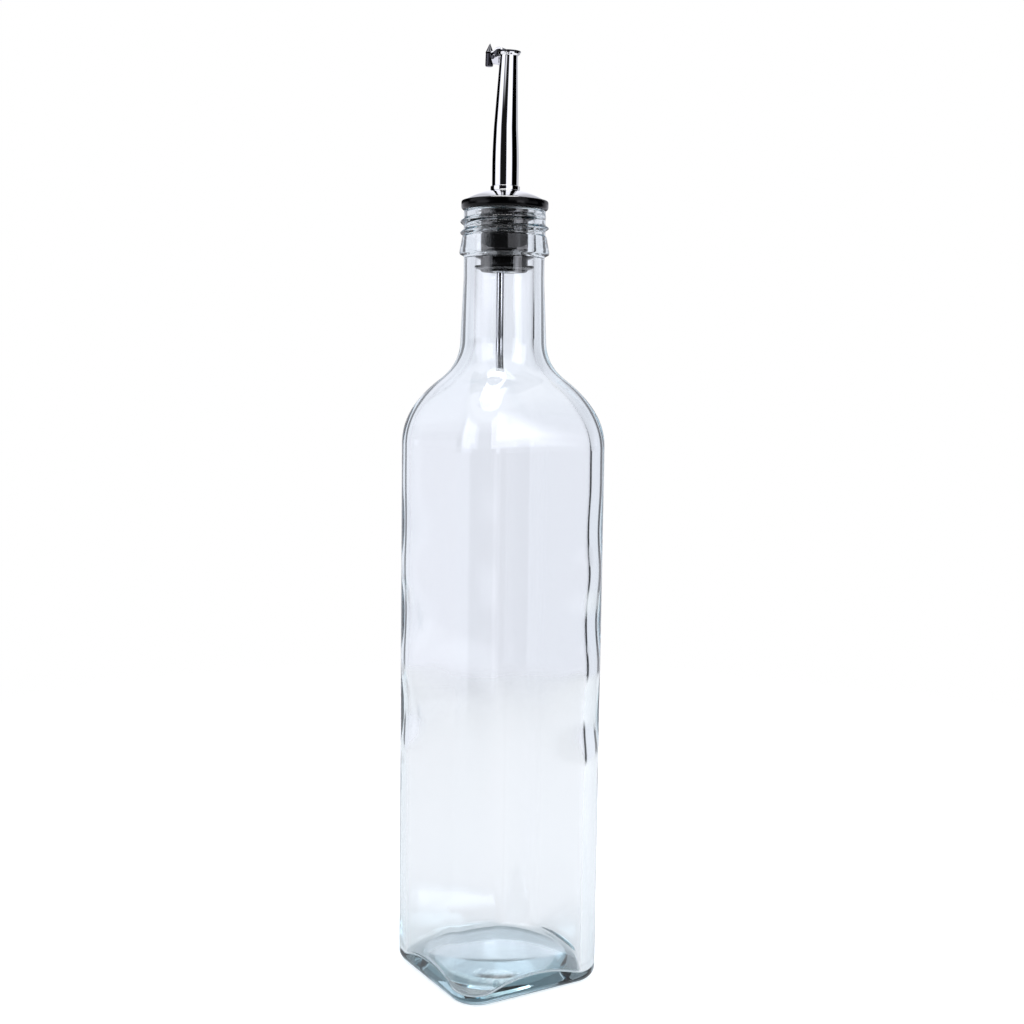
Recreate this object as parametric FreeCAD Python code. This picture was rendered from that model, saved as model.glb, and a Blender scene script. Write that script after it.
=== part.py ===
# Square glass oil bottle with a steel pourer: a finned rubber stopper, a steel spout that turns
# in it, a breather tube, and a weighted flap that shuts the spout's mouth.
# Millimetres. Origin at the middle of the base, +Z up, the flat sides facing X and Y.
import FreeCAD
import Part
import math
import os

V = FreeCAD.Vector
UP = V(0, 0, 1)

# Bottle, outside
BODY_WIDTH = 57.0
BODY_CORNER = 10.4
HEEL_RADIUS = 4.0
SHOULDER_START = 188.5
SHOULDER_ROUND = 33.8
SHOULDER_HOLLOW = 19.7
NECK_FOOT_RADIUS = 14.75
NECK_RADIUS = 13.8
NECK_STRAIGHT_Z = 245.0
MOUTH_Z = 268.5

# Bottle, inside
WALL = 3.0
CORNER_WALL = 2.4
BORE_RADIUS = 10.25
BORE_LEAD = 0.9
INSIDE_DOME_RADIUS = 55.0
INSIDE_BASE_Z = 12.0
INSIDE_BASE_FILLET = 2.5
PUSH_UP_DOME_RADIUS = 300.0
PUSH_UP_RADIUS = 23.0

# Screw finish of the neck
BEAD_BOTTOM_Z = 253.6
BEAD_TOP_Z = 259.6
BEAD_RADIUS = 15.35
BEAD_TOP_RADIUS = 14.4
FINISH_RADIUS = 13.95
THREAD_RADIUS = 15.15
THREAD_PITCH = 3.7
THREAD_FOOT = 2.3
THREAD_CREST = 0.8
THREAD_TOP_Z = 266.3
THREAD_TURNS = 1.7
THREAD_START_DEG = -30.0

# Rubber stopper
STOPPER_BOTTOM_Z = 247.6
STOPPER_CORE_RADIUS = 8.1
STOPPER_CHAMFER = 0.4
FIN_HEIGHTS = (248.8, 252.3, 259.8, 265.3)
FIN_ROOT = 1.3
FIN_TIP = 0.6
FIN_LIFT = 0.35
SLIDING_FIT = 0.05
FLANGE_RADIUS = 14.9
FLANGE_EDGE_Z = 271.6
FLANGE_ROUND = 1.1

# Domed collar plate of the spout
DOME_RADIUS = 26.5
DOME_TOP_Z = 275.6
PLATE_RADIUS = 13.6
PLATE_THICKNESS = 0.8
COLLAR_RADIUS = 5.05
COLLAR_TOP_Z = 276.6

# Spout and breather tube
SPOUT_RADIUS = 4.55
SPOUT_WALL = 0.5
SPOUT_TAPER_Z = 287.0
SPOUT_BEND_Z = 296.0
SPOUT_BEND_DEG = 2.2
SPOUT_TIP_RADIUS = 2.95
SPOUT_RIM_RADIUS = 3.75
SPOUT_RIM_HEIGHT = 0.55
SPOUT_RIM_Z = 320.9
SPOUT_HEADING_DEG = -68.5
TURNING_FIT = 0.03
BREATHER_RADIUS = 1.35
BREATHER_WALL = 0.4
BREATHER_OFFSET = 1.63
BREATHER_BOTTOM_Z = 212.0
BREATHER_TOP_Z = 298.0
HOLDER_LIFT = 1.0
HOLDER_HEIGHT = 2.0
OIL_HOLE_RADIUS = 1.75

# Flap, its bracket, its pin and its weight
SHEET = 0.5
PIN_RADIUS = 0.45
PIN_FIT = 0.03
PIN_HEAD_RADIUS = 0.8
PIN_HEAD_HEIGHT = 0.4
PIN_OUT = 5.3
PIN_Z = 319.6
EAR_INSIDE = 1.6
EAR_RADIUS = 0.85
BRACKET_BOTTOM_Z = 316.8
BRACKET_TOP_Z = 319.7
CHEEK_INSIDE = 0.7
CHEEK_RADIUS = 0.8
LID_RADIUS = 3.9
LID_FORWARD = 0.2
LID_GAP = 0.1
LID_THICKNESS = 0.6
ARM_WIDTH = 2.4
ARM_RISE = 1.1
WEIGHT_OUT = 8.4
WEIGHT_RADIUS = 1.35
WEIGHT_BOTTOM_Z = 316.9
WEIGHT_TIP_Z = 324.85
WEIGHT_ROUND = 0.7
WEIGHT_WAIST = 0.65

BODY_HALF = BODY_WIDTH / 2
LID_BOTTOM_Z = SPOUT_RIM_Z + LID_GAP
LID_TOP_Z = LID_BOTTOM_Z + LID_THICKNESS
SIDE_ARC_DEG = 22.5


def revolve(points):
    """Solid of revolution about Z from (radius, height) corners or ready edges."""
    face = Part.Face(Part.makePolygon([V(r, 0, z) for r, z in points + points[:1]]))
    return face.revolve(V(0, 0, 0), UP, 360)


def tube(outer, inner, bottom, top):
    """Round tube standing on Z."""
    base = V(0, 0, bottom)
    wall = Part.makeCylinder(outer, top - bottom, base)
    return wall.cut(Part.makeCylinder(inner, top - bottom, base))


def dome(radius, top):
    """Ball whose top lies on the axis at the given height."""
    return Part.makeSphere(radius, V(0, 0, top - radius))


def dome_height(radius, top, out):
    """Height of a dome at a distance from the axis."""
    return top - radius + math.sqrt(radius ** 2 - out ** 2)


def section(half, corner, side_deg, z):
    """Closed outline of eight tangent edges: four sides that bulge by side_deg, four corners."""
    side = math.radians(side_deg)
    centre = (half - corner) / (1 + math.tan(side / 2))
    edges = []
    for quarter in range(4):
        turn = FreeCAD.Rotation(UP, 90 * quarter)

        def corner_point(angle):
            x = centre + corner * math.cos(angle)
            y = centre + corner * math.sin(angle)
            return turn.multVec(V(x, y, z))

        start = corner_point(side)
        low = turn.multVec(V(centre + corner * math.cos(side), -centre - corner * math.sin(side), z))
        if side_deg:
            edges.append(Part.Arc(low, turn.multVec(V(half, 0, z)), start).toShape())
        else:
            edges.append(Part.makeLine(low, start))
        end = corner_point(math.pi / 2 - side)
        edges.append(Part.Arc(start, corner_point(math.pi / 4), end).toShape())
    return Part.Wire(edges)


def shoulder(half, corner, neck, start, rounding, hollow):
    """Loft from the square body to the round neck, with the height at which the neck begins.

    The side's profile is one outward arc and one inward arc, and the corners open into the circle.
    """
    drop = half - neck
    sweep = math.acos(1 - drop / (rounding + hollow))
    neck_z = start + (rounding + hollow) * math.sin(sweep)
    steps = 6
    lead = 3.0
    profile = [(half, start - lead), (half, start - lead / 2)]
    for k in range(steps):
        a = sweep * k / steps
        profile.append((half - rounding * (1 - math.cos(a)), start + rounding * math.sin(a)))
    for k in range(steps + 1):
        a = sweep * (1 - k / steps)
        profile.append((neck + hollow * (1 - math.cos(a)), neck_z - hollow * math.sin(a)))
    profile += [(neck, neck_z + lead / 2), (neck, neck_z + lead)]
    outlines = []
    for width, z in profile:
        roundness = (half - width) / drop
        share = corner / half + (1 - corner / half) * roundness ** 2
        outlines.append(section(width, width * share, SIDE_ARC_DEG * roundness, z))
    return Part.makeLoft(outlines, True), start - lead, neck_z + lead


def prism(half, corner, bottom, top):
    """Straight square body with round corners."""
    return Part.Face(section(half, corner, 0, bottom)).extrude(V(0, 0, top - bottom))


def thread():
    """Right-handed glass thread that winds down from just under the mouth."""
    height = THREAD_PITCH * THREAD_TURNS
    root = FINISH_RADIUS - 0.4
    path = Part.Wire(Part.makeHelix(THREAD_PITCH, height, root))
    corners = [V(root, 0, -THREAD_FOOT / 2), V(THREAD_RADIUS, 0, -THREAD_CREST / 2),
               V(THREAD_RADIUS, 0, THREAD_CREST / 2), V(root, 0, THREAD_FOOT / 2)]
    shell = Part.BRepOffsetAPI.MakePipeShell(path)
    shell.setFrenetMode(True)
    shell.add(Part.makePolygon(corners + corners[:1]))
    shell.build()
    shell.makeSolid()
    ridge = shell.shape()
    ridge.rotate(V(0, 0, 0), UP, THREAD_START_DEG - 360 * THREAD_TURNS)
    ridge.translate(V(0, 0, THREAD_TOP_Z - height))
    return ridge


def neck(bottom):
    """Round neck with its bead and its rounded lip, solid inside."""
    lip = 1.0
    body = revolve([
        (0, bottom), (NECK_FOOT_RADIUS, bottom), (NECK_RADIUS, NECK_STRAIGHT_Z),
        (NECK_RADIUS, BEAD_BOTTOM_Z - 0.8), (BEAD_RADIUS, BEAD_BOTTOM_Z),
        (BEAD_RADIUS, BEAD_BOTTOM_Z + 1.0), (BEAD_TOP_RADIUS, BEAD_TOP_Z),
        (FINISH_RADIUS, BEAD_TOP_Z + 0.4), (FINISH_RADIUS, MOUTH_Z - lip),
        (FINISH_RADIUS - lip * 0.3, MOUTH_Z - lip * 0.3), (FINISH_RADIUS - lip, MOUTH_Z), (0, MOUTH_Z)])
    return body.fuse(thread())


def bottle():
    """Glass bottle: square body, arched shoulder, threaded neck, hollow with a domed thick base."""
    upper, low, high = shoulder(BODY_HALF, BODY_CORNER, NECK_FOOT_RADIUS,
                                SHOULDER_START, SHOULDER_ROUND, SHOULDER_HOLLOW)
    body = prism(BODY_HALF, BODY_CORNER, 0, low)
    body = body.makeFillet(HEEL_RADIUS, [e for e in body.Edges if e.BoundBox.ZMax < 1e-6])
    glass = body.fuse([upper, neck(high)])

    inner_half = BODY_HALF - WALL
    inner_corner = BODY_CORNER - CORNER_WALL
    cavity, low, high = shoulder(inner_half, inner_corner, BORE_RADIUS,
                                 SHOULDER_START - WALL / 2, SHOULDER_ROUND - WALL, SHOULDER_HOLLOW + WALL)
    room = prism(inner_half, inner_corner, 0, low)
    room = room.cut(dome(INSIDE_DOME_RADIUS, INSIDE_BASE_Z))
    room = room.makeFillet(INSIDE_BASE_FILLET, [e for e in room.Edges if e.BoundBox.ZMax < INSIDE_BASE_Z])
    bore = Part.makeCylinder(BORE_RADIUS, MOUTH_Z - high, V(0, 0, high))
    mouth = Part.makeCone(BORE_RADIUS, BORE_RADIUS + BORE_LEAD, BORE_LEAD, V(0, 0, MOUTH_Z - BORE_LEAD))
    push_up = -dome_height(PUSH_UP_DOME_RADIUS, 0, PUSH_UP_RADIUS)
    hollow = room.fuse([cavity, bore, mouth])
    return glass.cut(hollow).cut(dome(PUSH_UP_DOME_RADIUS, push_up))


def stopper():
    """Rubber plug with bent fins and a broad flange that sits on the glass lip."""
    bore = SPOUT_RADIUS + TURNING_FIT
    tip = BORE_RADIUS - SLIDING_FIT
    outline = [(bore, STOPPER_BOTTOM_Z), (STOPPER_CORE_RADIUS - STOPPER_CHAMFER, STOPPER_BOTTOM_Z),
               (STOPPER_CORE_RADIUS, STOPPER_BOTTOM_Z + STOPPER_CHAMFER)]
    for z in FIN_HEIGHTS:
        outline += [(STOPPER_CORE_RADIUS, z - FIN_ROOT / 2), (tip, z + FIN_LIFT - FIN_TIP / 2),
                    (tip, z + FIN_LIFT + FIN_TIP / 2), (STOPPER_CORE_RADIUS, z + FIN_ROOT / 2)]
    edge = FLANGE_RADIUS - FLANGE_ROUND
    outline += [(STOPPER_CORE_RADIUS, MOUTH_Z), (edge, MOUTH_Z), (FLANGE_RADIUS, MOUTH_Z + FLANGE_ROUND),
                (FLANGE_RADIUS, FLANGE_EDGE_Z - FLANGE_ROUND), (edge, FLANGE_EDGE_Z),
                (PLATE_RADIUS, dome_height(DOME_RADIUS, DOME_TOP_Z, PLATE_RADIUS)), (bore, DOME_TOP_Z)]
    plug = revolve(outline)
    cap = Part.makeCylinder(PLATE_RADIUS + TURNING_FIT, 9, V(0, 0, MOUTH_Z))
    return plug.cut(cap.cut(dome(DOME_RADIUS - PLATE_THICKNESS, DOME_TOP_Z - PLATE_THICKNESS)))


def collar_plate():
    """Pressed steel dome on the flange, with an upturned collar round the foot of the spout."""
    plate = dome(DOME_RADIUS, DOME_TOP_Z).cut(dome(DOME_RADIUS - PLATE_THICKNESS, DOME_TOP_Z - PLATE_THICKNESS))
    plate = plate.common(tube(PLATE_RADIUS, SPOUT_RADIUS, MOUTH_Z, COLLAR_TOP_Z))
    collar = tube(COLLAR_RADIUS, SPOUT_RADIUS, DOME_TOP_Z - PLATE_THICKNESS, COLLAR_TOP_Z)
    collar = collar.cut(dome(DOME_RADIUS - PLATE_THICKNESS / 2, DOME_TOP_Z - PLATE_THICKNESS / 2))
    return plate.fuse(collar).removeSplitter()


def taper(z):
    """Outside radius of the spout's tapered part at a height."""
    share = (z - SPOUT_TAPER_Z) / (SPOUT_RIM_Z - SPOUT_TAPER_Z)
    return SPOUT_RADIUS + (SPOUT_TIP_RADIUS - SPOUT_RADIUS) * share


def tip_forward(shape):
    """Turns a shape with the spout's top, which is bent a little towards the pouring side."""
    shape.rotate(V(0, 0, SPOUT_BEND_Z), V(0, 1, 0), SPOUT_BEND_DEG)
    return shape


def spout_top(foot_radius, rings):
    """Solid from the level ring at the bend through (radius, height) rings that tip forward."""
    wires = [Part.Wire(Part.makeCircle(foot_radius, V(0, 0, SPOUT_BEND_Z)))]
    for radius, z in rings:
        wires.append(tip_forward(Part.Wire(Part.makeCircle(radius, V(0, 0, z)))))
    return Part.makeLoft(wires, True, True)


def spout():
    """Steel tube: straight in the stopper, then tapering and bent, with a flared rim at the mouth."""
    bend = taper(SPOUT_BEND_Z)
    flare_z = SPOUT_RIM_Z - 2 * SPOUT_RIM_HEIGHT
    foot = revolve([
        (SPOUT_RADIUS, STOPPER_BOTTOM_Z), (SPOUT_RADIUS, SPOUT_TAPER_Z), (bend, SPOUT_BEND_Z),
        (bend - SPOUT_WALL, SPOUT_BEND_Z), (SPOUT_RADIUS - SPOUT_WALL, SPOUT_TAPER_Z),
        (SPOUT_RADIUS - SPOUT_WALL, STOPPER_BOTTOM_Z)])
    outside = spout_top(bend, [(taper(flare_z), flare_z), (SPOUT_RIM_RADIUS, SPOUT_RIM_Z - SPOUT_RIM_HEIGHT),
                               (SPOUT_RIM_RADIUS, SPOUT_RIM_Z)])
    inside = spout_top(bend - SPOUT_WALL, [(SPOUT_TIP_RADIUS - SPOUT_WALL, SPOUT_RIM_Z)])
    return foot.fuse(outside.cut(inside)).removeSplitter()


def breather():
    """Thin steel tube that lets air back into the bottle, on the flap's side of the spout."""
    pipe = tube(BREATHER_RADIUS, BREATHER_RADIUS - BREATHER_WALL, BREATHER_BOTTOM_Z, BREATHER_TOP_Z)
    pipe.translate(V(-BREATHER_OFFSET, 0, 0))
    return pipe


def tube_holder():
    """Two-hole disc in the foot of the spout: one hole grips the breather, oil runs in by the other."""
    foot = V(0, 0, STOPPER_BOTTOM_Z + HOLDER_LIFT)
    inside = SPOUT_RADIUS - SPOUT_WALL
    disc = Part.makeCylinder(inside, HOLDER_HEIGHT, foot)
    breather_hole = Part.makeCylinder(BREATHER_RADIUS, HOLDER_HEIGHT, foot - V(BREATHER_OFFSET, 0, 0))
    oil_out = inside - SPOUT_WALL / 2 - OIL_HOLE_RADIUS
    oil_hole = Part.makeCylinder(OIL_HOLE_RADIUS, HOLDER_HEIGHT, foot + V(oil_out, 0, 0))
    return disc.cut([breather_hole, oil_hole])


def spout_skin(extra):
    """Outside of the tapered part of the spout, grown by extra."""
    height = SPOUT_RIM_Z - SPOUT_TAPER_Z
    return Part.makeCone(SPOUT_RADIUS + extra, SPOUT_TIP_RADIUS + extra, height, V(0, 0, SPOUT_TAPER_Z))


def pin_hole(radius):
    """Cylinder on the flap's hinge line, through everything."""
    length = 4 * EAR_INSIDE
    return Part.makeCylinder(radius, length, V(-PIN_OUT, -length / 2, PIN_Z), V(0, 1, 0))


def side_plates(inside, corners, boss):
    """Pair of upright sheet plates with a round boss at the hinge line."""
    plates = []
    for y in (inside, -inside - SHEET):
        outline = Part.makePolygon([V(x, y, z) for x, z in corners + corners[:1]])
        plate = Part.Face(outline).extrude(V(0, SHEET, 0))
        round_end = Part.makeCylinder(boss, SHEET, V(-PIN_OUT, y, PIN_Z), V(0, 1, 0))
        plates.append(plate.fuse(round_end))
    return plates


def bracket():
    """Folded sheet saddle soldered to the back of the spout, with two ears for the pin."""
    depth = EAR_INSIDE + SHEET
    height = BRACKET_TOP_Z - BRACKET_BOTTOM_Z
    saddle = Part.makeBox(PIN_OUT, 2 * depth, height, V(-PIN_OUT, -depth, BRACKET_BOTTOM_Z))
    saddle = saddle.common(spout_skin(SHEET))
    corners = [(0, BRACKET_BOTTOM_Z), (-PIN_OUT, BRACKET_BOTTOM_Z + EAR_RADIUS), (-PIN_OUT - EAR_RADIUS, PIN_Z),
               (-PIN_OUT, BRACKET_TOP_Z), (0, BRACKET_TOP_Z)]
    whole = saddle.fuse(side_plates(EAR_INSIDE, corners, EAR_RADIUS))
    return whole.cut([spout_skin(0), pin_hole(PIN_RADIUS)]).removeSplitter()


def hinge_pin():
    """Riveted pin: a shank through the ears with a flat head on each end."""
    outside = EAR_INSIDE + SHEET
    shank = Part.makeCylinder(PIN_RADIUS, 2 * outside, V(-PIN_OUT, -outside, PIN_Z), V(0, 1, 0))
    heads = []
    for side in (-1, 1):
        foot = V(-PIN_OUT, side * outside, PIN_Z)
        heads.append(Part.makeCone(PIN_HEAD_RADIUS, PIN_RADIUS, PIN_HEAD_HEIGHT, foot, V(0, side, 0)))
    return shank.fuse(heads).removeSplitter()


def flap():
    """Pressed steel lid with an arched arm, two cheeks on the pin and a tail for the weight."""
    lid = Part.makeCylinder(LID_RADIUS, LID_THICKNESS, V(LID_FORWARD, 0, LID_BOTTOM_Z))
    lid = lid.makeFillet(LID_THICKNESS * 0.4, [e for e in lid.Edges if e.BoundBox.ZMin > LID_TOP_Z - 1e-6])
    low = LID_BOTTOM_Z + LID_THICKNESS / 3
    arch = [(-LID_RADIUS / 3, low), (-LID_RADIUS * 0.75, low + ARM_RISE), (-PIN_OUT * 0.85, low + ARM_RISE),
            (-PIN_OUT - CHEEK_RADIUS, low), (-WEIGHT_OUT - WEIGHT_RADIUS * 0.6, low)]
    corners = arch + [(x, z + LID_THICKNESS) for x, z in reversed(arch)]
    strip = Part.Face(Part.makePolygon([V(x, -ARM_WIDTH / 2, z) for x, z in corners + corners[:1]]))
    strip = strip.extrude(V(0, ARM_WIDTH, 0))
    cheek = [(-PIN_OUT - CHEEK_RADIUS, PIN_Z), (-PIN_OUT - CHEEK_RADIUS, low + LID_THICKNESS / 2),
             (-PIN_OUT + CHEEK_RADIUS, low + ARM_RISE), (-PIN_OUT + CHEEK_RADIUS, PIN_Z)]
    whole = lid.fuse([strip] + side_plates(CHEEK_INSIDE, cheek, CHEEK_RADIUS))
    weight_hole = Part.makeCylinder(WEIGHT_WAIST, 9, V(-WEIGHT_OUT, 0, PIN_Z))
    return whole.cut([pin_hole(PIN_RADIUS + PIN_FIT), weight_hole]).removeSplitter()


def flap_weight():
    """Turned steel weight riveted through the flap's tail: round foot, waist and pointed top."""
    low = LID_BOTTOM_Z + LID_THICKNESS / 3
    high = low + LID_THICKNESS
    body = revolve([
        (0, WEIGHT_BOTTOM_Z), (WEIGHT_RADIUS - WEIGHT_ROUND, WEIGHT_BOTTOM_Z),
        (WEIGHT_RADIUS - WEIGHT_ROUND * 0.3, WEIGHT_BOTTOM_Z + WEIGHT_ROUND * 0.3),
        (WEIGHT_RADIUS, WEIGHT_BOTTOM_Z + WEIGHT_ROUND), (WEIGHT_RADIUS, low), (WEIGHT_WAIST, low),
        (WEIGHT_WAIST, high), (WEIGHT_RADIUS, high), (0, WEIGHT_TIP_Z)])
    body.translate(V(-WEIGHT_OUT, 0, 0))
    return body


os.makedirs("parts", exist_ok=True)
NODES = {
    "bottle": bottle, "stopper": stopper, "collar_plate": collar_plate, "spout": spout,
    "breather": breather, "tube_holder": tube_holder, "bracket": bracket, "hinge_pin": hinge_pin,
    "flap": flap, "flap_weight": flap_weight}
ON_SPOUT_TOP = ("bracket", "hinge_pin", "flap", "flap_weight")
for name, make in NODES.items():
    shape = make()
    if name in ON_SPOUT_TOP:
        tip_forward(shape)
    if name not in ("bottle", "stopper"):
        shape.rotate(V(0, 0, 0), UP, SPOUT_HEADING_DEG)
    shape.exportStep("parts/%s.step" % name)
    print(name, len(shape.Solids), shape.isValid(), round(shape.Volume, 1))
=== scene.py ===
import math

import bmesh
import bpy
import numpy as np
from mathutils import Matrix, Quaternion, Vector


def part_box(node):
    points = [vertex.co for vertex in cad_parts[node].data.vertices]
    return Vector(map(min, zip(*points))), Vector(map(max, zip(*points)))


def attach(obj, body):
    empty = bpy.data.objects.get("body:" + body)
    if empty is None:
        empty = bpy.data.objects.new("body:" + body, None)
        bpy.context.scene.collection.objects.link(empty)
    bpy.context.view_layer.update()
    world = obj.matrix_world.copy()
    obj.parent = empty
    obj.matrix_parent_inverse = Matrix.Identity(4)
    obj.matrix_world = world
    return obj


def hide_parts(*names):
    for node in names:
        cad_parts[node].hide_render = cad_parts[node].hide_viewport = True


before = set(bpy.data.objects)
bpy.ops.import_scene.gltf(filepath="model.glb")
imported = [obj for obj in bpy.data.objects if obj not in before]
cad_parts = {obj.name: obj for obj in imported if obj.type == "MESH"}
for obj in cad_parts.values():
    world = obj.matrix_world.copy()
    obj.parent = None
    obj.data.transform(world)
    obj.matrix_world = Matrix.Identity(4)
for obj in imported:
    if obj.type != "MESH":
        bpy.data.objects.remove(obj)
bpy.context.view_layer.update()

# Glass bottle
# One piece of moulded soda-lime glass, blown in a square mould. The outside follows the mould;
# the inside was shaped by air alone, so it wanders, and the base is left thick and domed.
MM = 0.001
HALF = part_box("bottle")[1][0]
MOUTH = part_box("bottle")[1][2]
CORNER = 10.4 * MM
HEEL = 4.0 * MM
SHOULDER = 188.5 * MM
SHOULDER_ROUND = 33.8 * MM
SHOULDER_HOLLOW = 19.7 * MM
NECK_FOOT = 14.75 * MM
NECK = 13.8 * MM
WALL = 3.0 * MM
INSIDE_CORNER = 9.5 * MM
BORE = 10.25 * MM
INSIDE_DOME = 55.0 * MM
INSIDE_BASE = 12.0 * MM
INSIDE_FILLET = 2.5 * MM
PUSH_UP_DOME = 300.0 * MM
PUSH_UP = 23.0 * MM
INSIDE_WALL_FOOT = 18.0 * MM
WAVE = 0.55 * MM
WAVE_LENGTH = 34.0 * MM
WAVE_CREST = 127.0 * MM
WAVE_FROM = 60.0 * MM
WAVE_TO = 185.0 * MM
WAVE_EASE_IN = 25.0 * MM
WAVE_EASE_OUT = 40.0 * MM
NECK_STRAIGHT = 245.0 * MM
FINISH = 13.95 * MM
LIP = 1.0 * MM
BEAD = 15.35 * MM
BEAD_SLOPE_TOP = 14.4 * MM
BEAD_BOTTOM = 253.6 * MM
BEAD_TOP = 259.6 * MM
THREAD_HEIGHT = 1.2 * MM
THREAD_HALF_WIDTH = 1.25 * MM
THREAD_PITCH = 3.7 * MM
THREAD_TOP = 266.3 * MM
THREAD_TURNS = 1.7
THREAD_START = math.radians(-30)
THREAD_RUN_OUT = 0.12


def mesh_piece(name, *shells):
    """Smooth mesh of shells, each skinned over rings of equal length; one-point rings close its ends."""
    skin = bmesh.new()
    for rings in shells:
        rows = [[skin.verts.new(tuple(p)) for p in ring] for ring in rings]
        for low, high in zip(rows, rows[1:]):
            count = max(len(low), len(high))
            for i in range(count):
                j = (i + 1) % count
                corners = [low[i % len(low)], low[j % len(low)], high[j % len(high)], high[i % len(high)]]
                skin.faces.new(dict.fromkeys(corners))
    bmesh.ops.remove_doubles(skin, verts=skin.verts, dist=1e-7)
    for face in skin.faces:
        face.smooth = True
    mesh = bpy.data.meshes.new(name)
    skin.to_mesh(mesh)
    skin.free()
    piece = bpy.data.objects.new(name, mesh)
    bpy.context.collection.objects.link(piece)
    return piece


def rounded(points, steps=6):
    """Profile through (a, b, radius) corners, each eased by a curve of about that radius."""
    path = []
    for k, (a, b, radius) in enumerate(points):
        here = np.array((a, b))
        if radius == 0 or k in (0, len(points) - 1):
            path.append(here)
            continue
        back = np.array(points[k - 1][:2]) - here
        ahead = np.array(points[k + 1][:2]) - here
        back_length, ahead_length = np.linalg.norm(back), np.linalg.norm(ahead)
        back, ahead = back / back_length, ahead / ahead_length
        half_turn = math.acos(np.clip(np.dot(back, ahead), -1, 1)) / 2
        reach = min(radius / math.tan(half_turn), 0.49 * back_length, 0.49 * ahead_length)
        for t in np.linspace(0, 1, steps + 1):
            path.append(here + back * reach * (1 - t) ** 2 + ahead * reach * t ** 2)
    return path


def outline(half, corner, side=0.0, side_steps=14, corner_steps=22):
    """Square with round corners whose sides bulge by an angle, up to a circle; x and y arrays."""
    centre = (half - corner) / (1 + math.tan(side / 2))
    reach = centre + corner * math.sin(side)
    along = np.linspace(-1, 1, side_steps, endpoint=False)
    if side > 1e-6:
        bulge = reach / math.sin(side)
        x = half - bulge + bulge * np.cos(side * along)
        y = bulge * np.sin(side * along)
    else:
        x = np.full(side_steps, half)
        y = reach * along
    turn = np.linspace(side, math.pi / 2 - side, corner_steps, endpoint=False)
    x = np.concatenate([x, centre + corner * np.cos(turn)])
    y = np.concatenate([y, centre + corner * np.sin(turn)])
    quarters = [(x, y), (-y, x), (-x, -y), (y, -x)]
    return np.concatenate([q[0] for q in quarters]), np.concatenate([q[1] for q in quarters])


def ring_at(xy, z):
    """Ring of points from x and y arrays and one height or an array of heights."""
    return np.stack([xy[0], xy[1], np.broadcast_to(z, xy[0].shape)], axis=1)


def circle(radius):
    """Circle with the bottle's own number of points."""
    return outline(radius, radius, math.radians(22.5))


def shoulder_rings(half, corner, neck, start, bulge, hollow, steps=26):
    """Rings from the square body up to the round neck, and the height where the neck begins."""
    drop = half - neck
    sweep = math.acos(1 - drop / (bulge + hollow))
    neck_z = start + (bulge + hollow) * math.sin(sweep)
    profile = [(half - bulge * (1 - math.cos(a)), start + bulge * math.sin(a))
               for a in np.linspace(0, sweep, steps, endpoint=False)]
    profile += [(neck + hollow * (1 - math.cos(a)), neck_z - hollow * math.sin(a))
                for a in np.linspace(sweep, 0, steps)]
    rings = []
    for width, z in profile:
        roundness = (half - width) / drop
        share = corner / half + (1 - corner / half) * roundness ** 2
        rings.append(ring_at(outline(width, width * share, math.radians(22.5) * roundness), z))
    return rings, neck_z


def dome_z(radius, top, x, y):
    """Height of a dome over a point."""
    return top - radius + np.sqrt(radius ** 2 - x ** 2 - y ** 2)


def thread_bump(x, y, z):
    """How far the thread stands out at each point of a ring of the finish."""
    bump = np.zeros_like(x)
    first = ((THREAD_START - np.arctan2(y, x)) % math.tau) / math.tau
    for turn in (first, first + 1):
        fade = np.clip(turn / THREAD_RUN_OUT, 0, 1) * np.clip((THREAD_TURNS - turn) / THREAD_RUN_OUT, 0, 1)
        off = np.clip((z - THREAD_TOP + THREAD_PITCH * turn) / THREAD_HALF_WIDTH, -1, 1)
        bump = np.maximum(bump, THREAD_HEIGHT * fade * (0.5 + 0.5 * np.cos(math.pi * off)))
    return bump


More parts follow.
